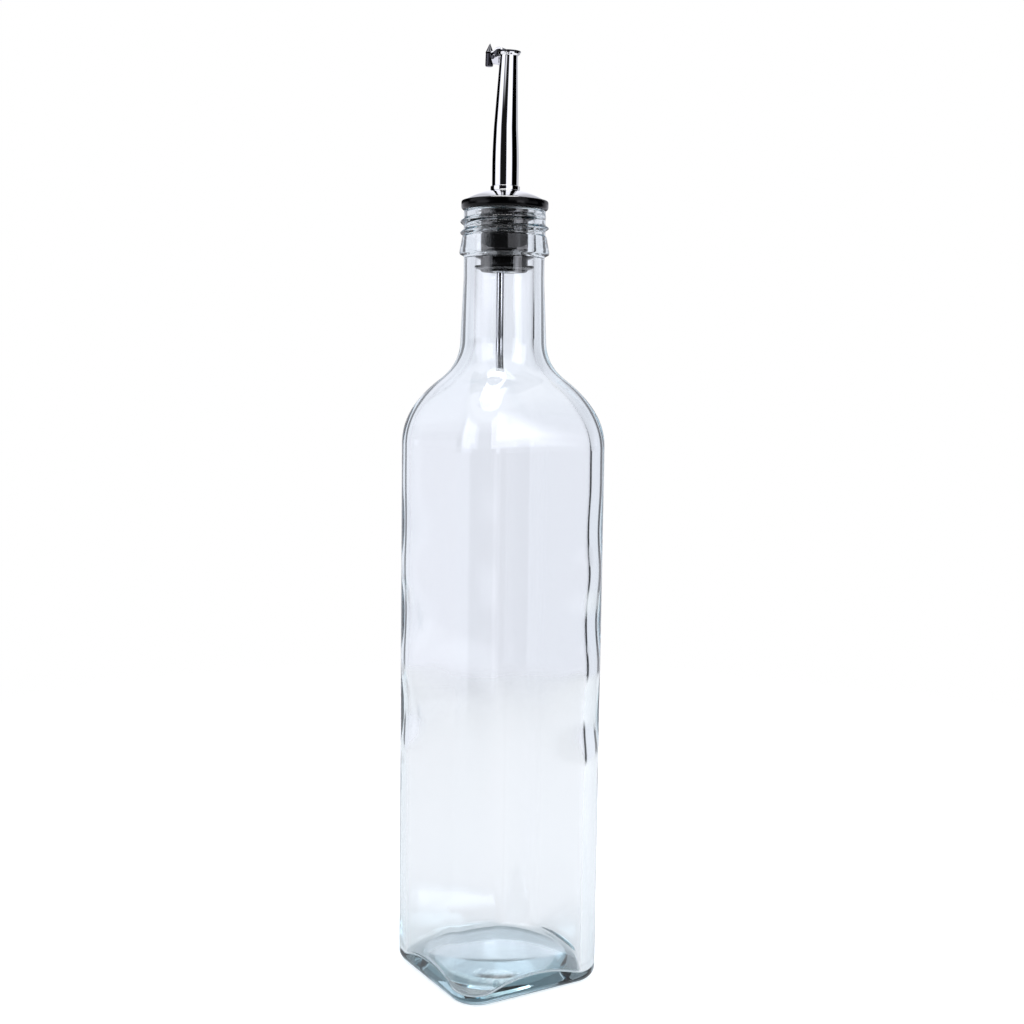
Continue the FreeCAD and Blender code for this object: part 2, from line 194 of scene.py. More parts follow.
def bottle_rings():
    """The whole glass skin: from the push-up, up the outside, over the lip and down the inside."""
    rise = PUSH_UP_DOME - math.sqrt(PUSH_UP_DOME ** 2 - PUSH_UP ** 2)
    rings = [[(0, 0, rise)]]
    for r in np.linspace(0.1, 1, 12) * PUSH_UP:
        x, y = circle(r)
        rings.append(ring_at((x, y), dome_z(PUSH_UP_DOME, rise, x, y)))
    for a in np.radians(np.linspace(0, 90, 10)):
        inset = HEEL * (1 - math.sin(a))
        rings.append(ring_at(outline(HALF - inset, CORNER - inset), HEEL * (1 - math.cos(a))))
    for z in np.linspace(HEEL, SHOULDER, 40)[1:-1]:
        rings.append(ring_at(outline(HALF, CORNER), z))
    upper, neck_z = shoulder_rings(HALF, CORNER, NECK_FOOT, SHOULDER, SHOULDER_ROUND, SHOULDER_HOLLOW)
    rings += upper
    outside = rounded([
        (NECK_FOOT, neck_z, 0), (NECK, NECK_STRAIGHT, 20 * MM), (NECK, BEAD_BOTTOM - 0.8 * MM, 0.8 * MM),
        (BEAD, BEAD_BOTTOM, 0.5 * MM), (BEAD, BEAD_BOTTOM + 1.0 * MM, 0.8 * MM),
        (BEAD_SLOPE_TOP, BEAD_TOP, 0.5 * MM), (FINISH, BEAD_TOP + 0.4 * MM, 0.4 * MM),
        (FINISH, MOUTH - LIP, 0)])
    heights = np.concatenate([np.linspace(neck_z, BEAD_BOTTOM - 2 * MM, 20)[1:],
                              np.linspace(BEAD_BOTTOM - 1.9 * MM, MOUTH - LIP, 110)])
    radii = np.interp(heights, [p[1] for p in outside], [p[0] for p in outside])
    for r, z in zip(radii, heights):
        x, y = circle(r)
        grow = 1 + thread_bump(x, y, z) / r
        rings.append(ring_at((x * grow, y * grow), z))
    for r, z in rounded([(FINISH, MOUTH - LIP, 0), (FINISH, MOUTH, 1.2 * MM),
                         (BORE, MOUTH, 1.0 * MM), (BORE, MOUTH - 2 * MM, 0)], 10)[1:]:
        rings.append(ring_at(circle(r), z))
    inner_half = HALF - WALL
    inner, bore_z = shoulder_rings(inner_half, INSIDE_CORNER, BORE, SHOULDER - WALL / 2,
                                   SHOULDER_ROUND - WALL, SHOULDER_HOLLOW + WALL)
    for z in np.linspace(MOUTH - 2.5 * MM, bore_z, 40)[:-1]:
        rings.append(ring_at(circle(BORE), z))
    rings += inner[::-1]
    for z in np.linspace(SHOULDER - WALL / 2, INSIDE_WALL_FOOT, 70)[1:]:
        # The inside wanders most in two opposite corners, and not near the base or the shoulder.
        x, y = outline(inner_half, INSIDE_CORNER)
        slack = np.clip(-np.sin(2 * np.arctan2(y, x)), 0, 1) ** 2
        calm = np.clip((z - WAVE_FROM) / WAVE_EASE_IN, 0, 1) * np.clip((WAVE_TO - z) / WAVE_EASE_OUT, 0, 1)
        swell = 0.4 + math.cos(math.tau * (z - WAVE_CREST) / WAVE_LENGTH)
        grow = 1 - WAVE * calm * slack * swell / np.hypot(x, y)
        rings.append(ring_at((x * grow, y * grow), z))
    for a in np.radians(np.linspace(0, 90, 10)):
        inset = INSIDE_FILLET * (1 - math.cos(a))
        x, y = outline(inner_half - inset, INSIDE_CORNER - inset)
        lift = INSIDE_FILLET * (1 - math.sin(a))
        rings.append(ring_at((x, y), dome_z(INSIDE_DOME, INSIDE_BASE, x, y) + lift))
    for share in np.linspace(1, 0.05, 24)[1:]:
        x, y = outline((inner_half - INSIDE_FILLET) * share, (INSIDE_CORNER - INSIDE_FILLET) * share)
        rings.append(ring_at((x, y), dome_z(INSIDE_DOME, INSIDE_BASE, x, y)))
    rings.append([(0, 0, INSIDE_BASE)])
    return rings


def linear(hex_colour):
    """Linear RGBA of an sRGB hex colour."""
    parts = [int(hex_colour[i:i + 2], 16) / 255 for i in (0, 2, 4)]
    return [c / 12.92 if c <= 0.04045 else ((c + 0.055) / 1.055) ** 2.4 for c in parts] + [1]


def add(tree, kind, settings=None, **inputs):
    """One shader node with its settings; each input is a value or another node's output."""
    node = tree.nodes.new(kind)
    for key, value in (settings or {}).items():
        setattr(node, key, value)
    for key, value in inputs.items():
        socket = node.inputs[int(key[1:])] if key[1:].isdigit() else node.inputs[key.replace("_", " ")]
        if isinstance(value, bpy.types.NodeSocket):
            tree.links.new(value, socket)
        else:
            socket.default_value = value
    return node


def new_material(name):
    """Empty node material: its tree, its output node and the object-space coordinates in metres."""
    material = bpy.data.materials.new(name)
    material.use_nodes = True
    tree = material.node_tree
    tree.nodes.clear()
    place = add(tree, "ShaderNodeTexCoord").outputs["Object"]
    return material, tree, add(tree, "ShaderNodeOutputMaterial"), place


def clear_glass():
    """Fire-polished container glass: clear, faintly blue-green where it is thick, softly uneven."""
    material, tree, out, place = new_material("clear_container_glass")
    swell = add(tree, "ShaderNodeTexNoise", Vector=place, Scale=1 / (22.2 * MM), Detail=2.0,
                Roughness=0.4)
    ripple = add(tree, "ShaderNodeTexNoise", Vector=place, Scale=1 / (2.38 * MM), Detail=1.0)
    height = add(tree, "ShaderNodeMath", {"operation": "MULTIPLY_ADD"},
                 _0=ripple.outputs[0], _1=0.02, _2=swell.outputs[0])
    bump = add(tree, "ShaderNodeBump", Strength=0.05, Distance=1.0 * MM, Height=height.outputs[0])
    glass = add(tree, "ShaderNodeBsdfPrincipled", Base_Color=(1, 1, 1, 1), Roughness=0.0, IOR=1.52,
                Transmission_Weight=1.0, Normal=bump.outputs[0])
    clear = add(tree, "ShaderNodeBsdfTransparent", Color=linear("f2f7f7"))
    path = add(tree, "ShaderNodeLightPath")
    surface = add(tree, "ShaderNodeMixShader", _0=path.outputs["Is Shadow Ray"],
                  _1=glass.outputs[0], _2=clear.outputs[0])
    tint = add(tree, "ShaderNodeVolumeAbsorption", Color=linear("59bcce"), Density=12.0)
    tree.links.new(surface.outputs[0], out.inputs["Surface"])
    tree.links.new(tint.outputs[0], out.inputs["Volume"])
    return material


def finish_piece(piece, material, body, slot, *nodes):
    """Gives a piece its material and ties it to the frame in place of CAD nodes."""
    piece.data.materials.append(material)
    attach(piece, body)
    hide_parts(*nodes)


finish_piece(mesh_piece("bottle_glass", bottle_rings()), clear_glass(), "bottle", "clear_glass", "bottle")

# Rubber stopper
# Moulded black rubber, pushed into the neck: a broad flange on the lip and thin fins that bend
# against the glass. The steel spout turns in its bore.
CORE = 8.1 * MM
FIN_TIP = BORE - 0.05 * MM
FIN_HALF = 0.65 * MM
FIN_HEIGHTS = (248.8 * MM, 252.3 * MM, 259.8 * MM, 265.3 * MM)
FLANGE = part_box("stopper")[1][0]
STOPPER_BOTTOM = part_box("stopper")[0][2]
FLANGE_EDGE = 271.6 * MM
DOME = 26.5 * MM
DOME_TOP = 275.6 * MM
PLATE = 13.6 * MM
PLATE_THICKNESS = 0.8 * MM
SPOUT = 4.55 * MM
TURNING_FIT = 0.05 * MM


def turned_rings(profile, steps=96, centre=(0, 0)):
    """Rings of a turned piece: a (radius, height) profile swept round an upright line."""
    turn = np.linspace(0, math.tau, steps, endpoint=False)
    rings = []
    for r, z in profile:
        if r < 1e-9:
            rings.append([(*centre, z)])
        else:
            rings.append(ring_at((centre[0] + r * np.cos(turn), centre[1] + r * np.sin(turn)), z))
    return rings


def plate_z(radius, sink=0.0):
    """Height of the collar plate's dome at a radius, or of a face that far under it."""
    return DOME_TOP - DOME + math.sqrt((DOME - sink) ** 2 - radius ** 2)


def stopper_profile():
    """Outline of the stopper from its foot, past the fins and round the flange, to its bore."""
    points = [(SPOUT + TURNING_FIT, STOPPER_BOTTOM, 0), (CORE - 0.2 * MM, STOPPER_BOTTOM, 0.3 * MM)]
    for z in FIN_HEIGHTS:
        points += [(CORE, z - FIN_HALF, 0.5 * MM), (FIN_TIP, z + 0.05 * MM, 0.2 * MM),
                   (FIN_TIP, z + FIN_HALF, 0.2 * MM), (CORE, z + FIN_HALF, 0.5 * MM)]
    points += [(CORE, MOUTH, 0.3 * MM), (FLANGE, MOUTH, 1.3 * MM), (FLANGE, FLANGE_EDGE, 1.2 * MM),
               (PLATE + TURNING_FIT, plate_z(PLATE), 0.1 * MM)]
    for r in np.linspace(PLATE, SPOUT, 8):
        points.append((r + TURNING_FIT, plate_z(r, PLATE_THICKNESS) - TURNING_FIT, 0))
    return rounded(points + [points[0]], 6)


def black_rubber():
    """Satin moulded rubber: near black, faint highlights, a very fine mould texture."""
    material, tree, out, place = new_material("satin_black_rubber")
    # A mould's own texture is finer than this; it is drawn at 0.4 mm so that it shows.
    grain = add(tree, "ShaderNodeTexNoise", Vector=place, Scale=1 / (0.4 * MM), Detail=1.0)
    cloud = add(tree, "ShaderNodeTexNoise", Vector=place, Scale=1 / (6.25 * MM), Detail=3.0)
    sheen = add(tree, "ShaderNodeMapRange", Value=cloud.outputs[0], To_Min=0.12, To_Max=0.18)
    bump = add(tree, "ShaderNodeBump", Strength=0.02, Distance=0.05 * MM, Height=grain.outputs[0])
    rubber = add(tree, "ShaderNodeBsdfPrincipled", Base_Color=linear("020203"), Roughness=sheen.outputs[0],
                 IOR=1.52, Specular_IOR_Level=0.15, Normal=bump.outputs[0])
    tree.links.new(rubber.outputs[0], out.inputs["Surface"])
    return material


stopper = mesh_piece("stopper_rubber", turned_rings(stopper_profile(), 128))
finish_piece(stopper, black_rubber(), "stopper", "black_rubber", "stopper")

# Collar plate
# Pressed stainless disc, domed and polished, that hides the rubber under the spout. Its collar
# is turned up round the foot of the spout.
COLLAR = 5.05 * MM
COLLAR_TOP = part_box("collar_plate")[1][2]


def polished_steel(name, along_z, colour="f0f0f1"):
    """Polished stainless: mirror bright, with hairlines left by the buffing wheel."""
    material, tree, out, place = new_material(name)
    # Real hairlines are a few hundredths of a millimetre wide; these are coarser, so that they show.
    stretch = (1, 1, 0.02) if along_z else (0.05, 0.05, 1)
    lines = add(tree, "ShaderNodeMapping", Vector=place, Scale=stretch)
    hair = add(tree, "ShaderNodeTexNoise", Vector=lines.outputs[0], Scale=1 / (0.192 * MM), Detail=2.0)
    smear = add(tree, "ShaderNodeTexNoise", Vector=place, Scale=1 / (7.14 * MM), Detail=3.0)
    gloss = add(tree, "ShaderNodeMapRange", Value=smear.outputs[0], To_Min=0.015, To_Max=0.05)
    bump = add(tree, "ShaderNodeBump", Strength=0.002, Distance=0.01 * MM, Height=hair.outputs[0])
    steel = add(tree, "ShaderNodeBsdfPrincipled", Base_Color=linear(colour), Metallic=1.0,
                Roughness=gloss.outputs[0], Normal=bump.outputs[0])
    tree.links.new(steel.outputs[0], out.inputs["Surface"])
    return material


# Turned steel has its hairlines round its axis, and drawn steel along it.
STEEL_TURNED = polished_steel("polished_steel_turned", False)
STEEL_DRAWN = polished_steel("polished_steel_drawn", True)

plate_profile = [(r, plate_z(r), 0) for r in np.linspace(COLLAR + 0.3 * MM, PLATE - 0.3 * MM, 14)]
plate_profile = [(SPOUT, plate_z(SPOUT, PLATE_THICKNESS), 0), (SPOUT, COLLAR_TOP, 0.2 * MM),
                 (COLLAR, COLLAR_TOP, 0.4 * MM), (COLLAR, plate_z(COLLAR), 0.3 * MM)] + plate_profile
plate_profile += [(PLATE, plate_z(PLATE), 0.25 * MM), (PLATE, plate_z(PLATE, PLATE_THICKNESS), 0.1 * MM)]
plate_profile += [(r, plate_z(r, PLATE_THICKNESS), 0) for r in np.linspace(PLATE, SPOUT, 8)[1:]]
collar_plate = mesh_piece("collar_plate_steel", turned_rings(rounded(plate_profile)[::-1], 128))
finish_piece(collar_plate, STEEL_TURNED, "spout", "polished_steel", "collar_plate")

# Spout, breather and tube holder
# The spout is drawn stainless tube, tapered, bent a little to its pouring side and flared at its rim.
# Inside it a thin breather tube, gripped by a two-hole disc in the spout's foot, lets in air.
SPOUT_WALL = 0.5 * MM
TAPER = 287.0 * MM
BEND_Z = 296.0 * MM
BEND = math.radians(2.2)
TIP = 2.95 * MM
RIM = 3.75 * MM
RIM_HEIGHT = 0.55 * MM
RIM_Z = 320.9 * MM
HEADING = math.radians(-68.5)
BREATHER = 1.35 * MM
BREATHER_WALL = 0.4 * MM
BREATHER_OUT = 1.63 * MM
BREATHER_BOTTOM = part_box("breather")[0][2]
BREATHER_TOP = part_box("breather")[1][2]


def on_spout(points):
    """Points given forward, aside and up: tipped with the spout above its bend, turned to its heading."""
    x, y, z = np.array(points, dtype=float).T
    lift = np.maximum(z - BEND_Z, 0)
    tip = np.where(lift > 0, BEND, 0)
    z = np.minimum(z, BEND_Z) + lift * np.cos(tip) - x * np.sin(tip)
    x = x * np.cos(tip) + lift * np.sin(tip)
    return np.stack([x * math.cos(HEADING) - y * math.sin(HEADING),
                     x * math.sin(HEADING) + y * math.cos(HEADING), z], axis=1)


def dense(profile, step):
    """The same profile with points no further than a step apart, so that smooth shading stays true."""
    fine = [profile[0]]
    for a, b in zip(profile, profile[1:]):
        count = max(1, math.ceil(math.dist(a, b) / step))
        fine += [tuple(np.array(a) + (np.array(b) - np.array(a)) * k / count) for k in range(1, count + 1)]
    return fine


def taper_at(z):
    """Outside radius of the tapered part of the spout."""
    return SPOUT + (TIP - SPOUT) * (z - TAPER) / (RIM_Z - TAPER)


flare_z = RIM_Z - 2 * RIM_HEIGHT
spout_profile = rounded([
    (SPOUT, STOPPER_BOTTOM, 0), (SPOUT, TAPER, 200 * MM), (taper_at(flare_z), flare_z, 0.6 * MM),
    (RIM, RIM_Z - RIM_HEIGHT, 0.3 * MM), (RIM, RIM_Z, 0.3 * MM), (TIP - SPOUT_WALL, RIM_Z, 0.3 * MM),
    (SPOUT - SPOUT_WALL, TAPER, 200 * MM), (SPOUT - SPOUT_WALL, STOPPER_BOTTOM, 0),
    (SPOUT, STOPPER_BOTTOM, 0)], 12)
spout_rings = [on_spout(ring) for ring in turned_rings(dense(spout_profile, 0.6 * MM), 160)]
finish_piece(mesh_piece("spout_steel", spout_rings), STEEL_DRAWN, "spout", "polished_steel", "spout")

breather_bore = BREATHER - BREATHER_WALL
breather_profile = rounded([
    (BREATHER, BREATHER_BOTTOM, 0), (BREATHER, BREATHER_TOP, 0.1 * MM),
    (breather_bore, BREATHER_TOP, 0.1 * MM), (breather_bore, BREATHER_BOTTOM, 0.1 * MM),
    (BREATHER, BREATHER_BOTTOM, 0)], 4)
breather_rings = turned_rings(dense(breather_profile, 2 * MM), 48, (-BREATHER_OUT, 0))
# Left as drawn: a shade darker than the polished spout.
STEEL_DULL = polished_steel("dull_drawn_steel", True, "d0d0d4")
breather = mesh_piece("breather_steel", [on_spout(ring) for ring in breather_rings])
finish_piece(breather, STEEL_DULL, "spout", "polished_steel", "breather")
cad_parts["tube_holder"].data.materials.clear()
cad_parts["tube_holder"].data.materials.append(STEEL_TURNED)

# Bracket, pin, flap and weight
# Small pressings: a folded saddle soldered to the spout, a riveted pin, and a lid whose arm runs
# over the pin to a turned weight that keeps the mouth shut until the bottle is tipped.
SHEET = 0.5 * MM
PIN = 0.45 * MM
PIN_HEAD = 0.8 * MM
PIN_OUT = 5.3 * MM
PIN_Z = 319.6 * MM
EAR_INSIDE = 1.6 * MM
EAR = 0.85 * MM
BRACKET_BOTTOM = 316.8 * MM
BRACKET_TOP = 319.7 * MM
CHEEK_INSIDE = 0.7 * MM
CHEEK = 0.8 * MM
LID = 3.9 * MM
LID_FORWARD = 0.2 * MM
LID_BOTTOM = RIM_Z + 0.1 * MM
LID_THICKNESS = 0.6 * MM
LID_EDGE = 0.3 * MM
ARM_WIDTH = 2.4 * MM
ARM_RISE = 1.1 * MM
WEIGHT_OUT = 8.4 * MM
WEIGHT = 1.35 * MM
WEIGHT_BOTTOM = 316.9 * MM
WEIGHT_TIP = 324.85 * MM
WEIGHT_WAIST = 0.65 * MM
EDGE = 0.12 * MM


def plate_shell(outline_points, first, last):
    """Flat plate with rounded edges: a (forward, up) outline swept aside from one offset to the other."""
    points = np.array(outline_points)
    ahead, behind = np.roll(points, -1, axis=0), np.roll(points, 1, axis=0)
    inward = np.stack([behind[:, 1] - ahead[:, 1], ahead[:, 0] - behind[:, 0]], axis=1)
    inward = inward / np.linalg.norm(inward, axis=1)[:, None]
    toward = math.copysign(EDGE, last - first)
    quarter = np.linspace(0, math.pi / 2, 4)
    steps = [(EDGE * (1 - math.sin(a)), first + toward * (1 - math.cos(a))) for a in quarter]
    steps += [(inset, first + last - aside) for inset, aside in reversed(steps)]
    middle = points.mean(axis=0)
    shell = [[(middle[0], first, middle[1])]]
    for inset, aside in steps:
        ring = points + inward * inset
        shell.append([(x, aside, z) for x, z in ring])
    shell.append([(middle[0], last, middle[1])])
    return [on_spout(ring) for ring in shell]


def strip_shell(line, width, thickness):
    """Strip bent along a (forward, up) line, with rounded edges and closed ends."""
    side = width / 2
    corners = rounded([(-side, 0, 0), (-side, thickness, EDGE), (side, thickness, EDGE), (side, 0, EDGE),
                       (-side, 0, EDGE), (-side, thickness / 2, 0)], 3)[1:-1]
    points = np.array(line)
    shell = [[(points[0][0], 0, points[0][1] + thickness / 2)]]
    for x, z in points:
        shell.append([(x, aside, z + up) for aside, up in corners])
    shell.append([(points[-1][0], 0, points[-1][1] + thickness / 2)])
    return [on_spout(ring) for ring in shell]


def saddle_shell():
    """Curved sheet that hugs the back of the spout between the two ears."""
    reach = math.asin((EAR_INSIDE + SHEET) / taper_at(BRACKET_BOTTOM))
    shell = []
    for turn in np.linspace(math.pi - reach, math.pi + reach, 24):
        ring = [(taper_at(z) + out, z) for out, z in (
            (0, BRACKET_BOTTOM), (0, BRACKET_TOP), (SHEET - EDGE, BRACKET_TOP),
            (SHEET, BRACKET_TOP - EDGE), (SHEET, BRACKET_BOTTOM + EDGE), (SHEET - EDGE, BRACKET_BOTTOM))]
        shell.append([(r * math.cos(turn), r * math.sin(turn), z) for r, z in ring])
    shell = [[np.mean(shell[0], axis=0)]] + shell + [[np.mean(shell[-1], axis=0)]]
    return [on_spout(ring) for ring in shell]


def boss_outline(foot, radius):
    """Outline of an upright plate: its foot points, then a round end about the pin."""
    turn = np.radians(np.linspace(-20, 200, 16))
    return foot + [(-PIN_OUT + radius * math.cos(a), PIN_Z + radius * math.sin(a)) for a in turn]


def paint_lit_top(piece, height):
    """Bright steel on the faces above a height: a painted lit top over the painted shade below."""
    piece.data.materials.append(STEEL_TURNED)
    for face in piece.data.polygons:
        face.material_index = int(face.center.z > height)


spout_back = -TIP + 0.1 * MM
ear_foot = [(-PIN_OUT - EAR * 0.9, PIN_Z - EAR * 0.6), (-PIN_OUT + 0.1 * MM, BRACKET_BOTTOM + 0.5 * MM),
            (spout_back, BRACKET_BOTTOM), (spout_back, BRACKET_TOP)]
ear = boss_outline(ear_foot, EAR)
ears = [plate_shell(ear, offset + SHEET, offset) for offset in (EAR_INSIDE, -EAR_INSIDE - SHEET)]
bracket = mesh_piece("bracket_steel", saddle_shell(), *ears)
finish_piece(bracket, STEEL_DULL, "spout", "polished_steel", "bracket")

pin_end = EAR_INSIDE + SHEET
pin_profile = rounded([(0, -pin_end - 0.4 * MM, 0), (PIN_HEAD * 0.8, -pin_end - 0.35 * MM, 0.3 * MM),
                       (PIN_HEAD, -pin_end, 0.1 * MM), (PIN, -pin_end, 0), (PIN, pin_end, 0),
                       (PIN_HEAD, pin_end, 0.1 * MM), (PIN_HEAD * 0.8, pin_end + 0.35 * MM, 0.3 * MM),
                       (0, pin_end + 0.4 * MM, 0)], 5)
# Painted shade: steel darkened to near black beside the bright spout, on the pin, the flap and the weight.
STEEL_PAINTED_SHADE = polished_steel("turned_steel_painted_shade", False, "4c4c52")
pin_rings = [[(x - PIN_OUT, z, PIN_Z - y) for x, y, z in ring] for ring in turned_rings(pin_profile, 32)]
hinge_pin = mesh_piece("hinge_pin_steel", [on_spout(ring) for ring in pin_rings])
finish_piece(hinge_pin, STEEL_PAINTED_SHADE, "spout", "polished_steel", "hinge_pin")

arm_low = LID_BOTTOM + LID_THICKNESS / 3
lid_top = LID_BOTTOM + LID_THICKNESS
lid_profile = rounded([
    (0, LID_BOTTOM, 0), (LID, LID_BOTTOM, 0.1 * MM), (LID, LID_BOTTOM + LID_EDGE, 0.1 * MM),
    (LID / 2, lid_top, 4 * MM), (0, lid_top, 0)], 5)
lid_rings = [on_spout(ring) for ring in turned_rings(lid_profile, 64, (LID_FORWARD, 0))]
arm_line = rounded([(-LID / 3, arm_low, 0), (-LID * 0.75, arm_low + ARM_RISE, 1.2 * MM),
                    (-PIN_OUT * 0.85, arm_low + ARM_RISE, 1.2 * MM), (-PIN_OUT - CHEEK, arm_low, 1.2 * MM),
                    (-WEIGHT_OUT - WEIGHT * 0.6, arm_low, 0)], 8)
cheek = [(-PIN_OUT - CHEEK, arm_low + LID_THICKNESS / 2), (-PIN_OUT - CHEEK, PIN_Z)]
for a in np.radians(np.linspace(195, 345, 12)):
    cheek.append((-PIN_OUT + CHEEK * math.cos(a), PIN_Z + CHEEK * math.sin(a)))
cheek += [(-PIN_OUT + CHEEK, PIN_Z), (-PIN_OUT + CHEEK, arm_low + ARM_RISE)]
cheeks = [plate_shell(cheek, offset + SHEET, offset) for offset in (CHEEK_INSIDE, -CHEEK_INSIDE - SHEET)]
flap = mesh_piece("flap_steel", lid_rings, strip_shell(arm_line[::-1], ARM_WIDTH, LID_THICKNESS), *cheeks)
finish_piece(flap, STEEL_PAINTED_SHADE, "flap", "polished_steel", "flap")
# Painted lit top: the flap's faces above the lid are bright steel, the rest painted shade.
paint_lit_top(flap, lid_top)

weight_profile = rounded([
    (0, WEIGHT_BOTTOM, 0), (WEIGHT, WEIGHT_BOTTOM, 0.6 * MM), (WEIGHT, arm_low, 0.1 * MM),
    (WEIGHT_WAIST, arm_low, 0), (WEIGHT_WAIST, arm_low + LID_THICKNESS, 0),
    (WEIGHT, arm_low + LID_THICKNESS, 0.1 * MM),
    (WEIGHT * 0.35, WEIGHT_TIP - 1.1 * MM, 1.5 * MM), (0, WEIGHT_TIP, 0)], 6)
weight_rings = turned_rings(dense(weight_profile, 0.4 * MM), 48, (-WEIGHT_OUT, 0))
weight = mesh_piece("flap_weight_steel", [on_spout(ring) for ring in weight_rings])
finish_piece(weight, STEEL_PAINTED_SHADE, "flap", "polished_steel", "flap_weight")
# Painted lit top: the weight's tip above the lid is bright steel, its body painted shade.
paint_lit_top(weight, lid_top)

# Floor
# A round sheet of matt white paper that the bottle stands on. It takes soft light and the bottle's
# shadow, and fades out unevenly into the white of the set.
FLOOR_RADIUS = 600 * MM
FADE_FROM = 420 * MM
FADE_TO = 600 * MM
floor = mesh_piece("floor", turned_rings([(FLOOR_RADIUS, 0), (0, 0)]))
floor_material, tree, out, place = new_material("matt_white_paper")
matt = add(tree, "ShaderNodeBsdfDiffuse", Color=linear("f1f2f7"))
path = add(tree, "ShaderNodeLightPath")
level = add(tree, "ShaderNodeMath", {"operation": "MULTIPLY"}, _0=path.outputs["Is Camera Ray"], _1=0.36)
glow = add(tree, "ShaderNodeEmission", Color=(1, 1, 1, 1), Strength=level.outputs[0])
both = add(tree, "ShaderNodeAddShader", _0=matt.outputs[0], _1=glow.outputs[0])
away = add(tree, "ShaderNodeVectorMath", {"operation": "LENGTH"}, _0=place)
drift = add(tree, "ShaderNodeTexNoise", Vector=place, Scale=1 / (250 * MM), Detail=1.5)
uneven = add(tree, "ShaderNodeMath", {"operation": "MULTIPLY_ADD"}, _0=drift.outputs[0], _1=0.16,
             _2=away.outputs["Value"])
fade = add(tree, "ShaderNodeMapRange", {"interpolation_type": "SMOOTHSTEP"}, Value=uneven.outputs[0],
           From_Min=FADE_FROM, From_Max=FADE_TO)
open_air = add(tree, "ShaderNodeBsdfTransparent")
whole = add(tree, "ShaderNodeMixShader", _0=fade.outputs[0], _1=both.outputs[0], _2=open_air.outputs[0])
tree.links.new(whole.outputs[0], out.inputs["Surface"])
floor.data.materials.append(floor_material)

# Camera
# A normal lens a little above the shoulder, half a metre away, tilted down by a few degrees.
CAMERA_TURN = math.radians(30.55)
CAMERA_AWAY = 493.7 * MM
CAMERA_HEIGHT = 216.1 * MM
CAMERA_PITCH = math.radians(5.92)
CAMERA_YAW = math.radians(0.44)
CAMERA_ROLL = math.radians(0.75)
camera = bpy.data.objects.new("camera", bpy.data.cameras.new("camera"))
bpy.context.collection.objects.link(camera)
camera.data.sensor_width = 36
camera.data.lens = 49.93
camera.data.clip_start = 0.01
camera.location = (
    -CAMERA_AWAY * math.sin(CAMERA_TURN), -CAMERA_AWAY * math.cos(CAMERA_TURN), CAMERA_HEIGHT)
camera.rotation_mode = "QUATERNION"
heading = Quaternion((0, 0, 1), -CAMERA_TURN - CAMERA_YAW)
pitch = Quaternion((1, 0, 0), math.pi / 2 - CAMERA_PITCH)
camera.rotation_quaternion = heading @ pitch @ Quaternion((0, 0, 1), CAMERA_ROLL)
bpy.context.scene.camera = camera

# Softboxes
# Two diffused boxes, a large one high on the right and a narrower one on the left. They only light;
# what glass and steel show of them is part of the surroundings.


def softbox(name, azimuth, elevation, away, width, height, power):
    """Rectangular soft lamp aimed at the shoulder, placed by azimuth from the camera in degrees."""
    lamp = bpy.data.lights.new(name, "AREA")
    lamp.shape = "RECTANGLE"
    lamp.size = width
    lamp.size_y = height
    lamp.energy = power
    turn = math.radians(azimuth) - CAMERA_TURN
    lift = math.radians(elevation)
    back = Vector((math.sin(turn) * math.cos(lift), -math.cos(turn) * math.cos(lift), math.sin(lift)))
    box = bpy.data.objects.new(name, lamp)
    bpy.context.collection.objects.link(box)
    box.location = Vector((0, 0, SHOULDER)) + back * away
    box.rotation_mode = "QUATERNION"
    box.rotation_quaternion = back.to_track_quat("Z", "Y")
    box.visible_camera = False
    box.visible_glossy = False
    box.visible_transmission = False


softbox("softbox_right", azimuth=78, elevation=32, away=0.8, width=0.55, height=0.5, power=3.5)
softbox("softbox_left", azimuth=-70, elevation=25, away=0.8, width=0.3, height=0.6, power=2.0)

# Surroundings
# Reflections show, by direction, a white set with a dark strip behind, black cards at the sides, a dark
# room in front, the two softboxes and a lamp overhead. Straight through the glass the set is all white.
# Stops are degrees of azimuth from the camera, to the right, and brightness; zones, sines of elevation.
BELOW_STOPS = [(-180, 0.1), (-170, 0.1), (-164, 1.0), (-52, 1.0), (-44, 0.1), (40, 0.1), (46, 1.0),
               (54, 1.0), (58, 0.0), (120, 0.0), (124, 0.95), (142, 1.0), (164, 1.0), (170, 0.1), (180, 0.1)]
LOW_STOPS = [(-180, 0.1), (-170, 0.1), (-164, 1.0), (-114, 0.9), (-110, 0.05), (-84, 0.05), (-80, 0.9),
             (-72, 2.2), (-46, 2.2), (-40, 0.02), (31, 0.02), (33, 3.4), (50, 3.4), (53, 0.6), (94, 0.6),
             (97, 0.0), (116, 0.0), (120, 0.8), (142, 1.0), (164, 1.0), (170, 0.1), (180, 0.1)]
HIGH_STOPS = [(-180, 1.05), (-140, 1.0), (-112, 0.9), (-100, 0.5), (-84, 0.5), (-76, 3.0), (-30, 3.0),
              (-26, 0.4), (31, 0.4), (33, 4.0), (64, 4.0), (65, 0.3), (97, 0.3), (100, 0.0), (114, 0.0),
              (118, 0.8), (150, 0.95), (180, 1.05)]
HORIZON_ZONE = (-0.03, 0.0)
UPPER_ZONE = (0.07, 0.22)
CEILING_ZONE = (0.62, 0.74)
BRIGHT_CEILING_ZONE = (0.79, 0.81)
OVERHEAD_LAMP_ZONE = (0.92, 0.94)
SET_WHITE = linear("f3f4fd")


def light(strength, colour=(1, 1, 1)):
    """Linear RGBA of a light of that strength."""
    return [strength * channel for channel in colour[:3]] + [1]


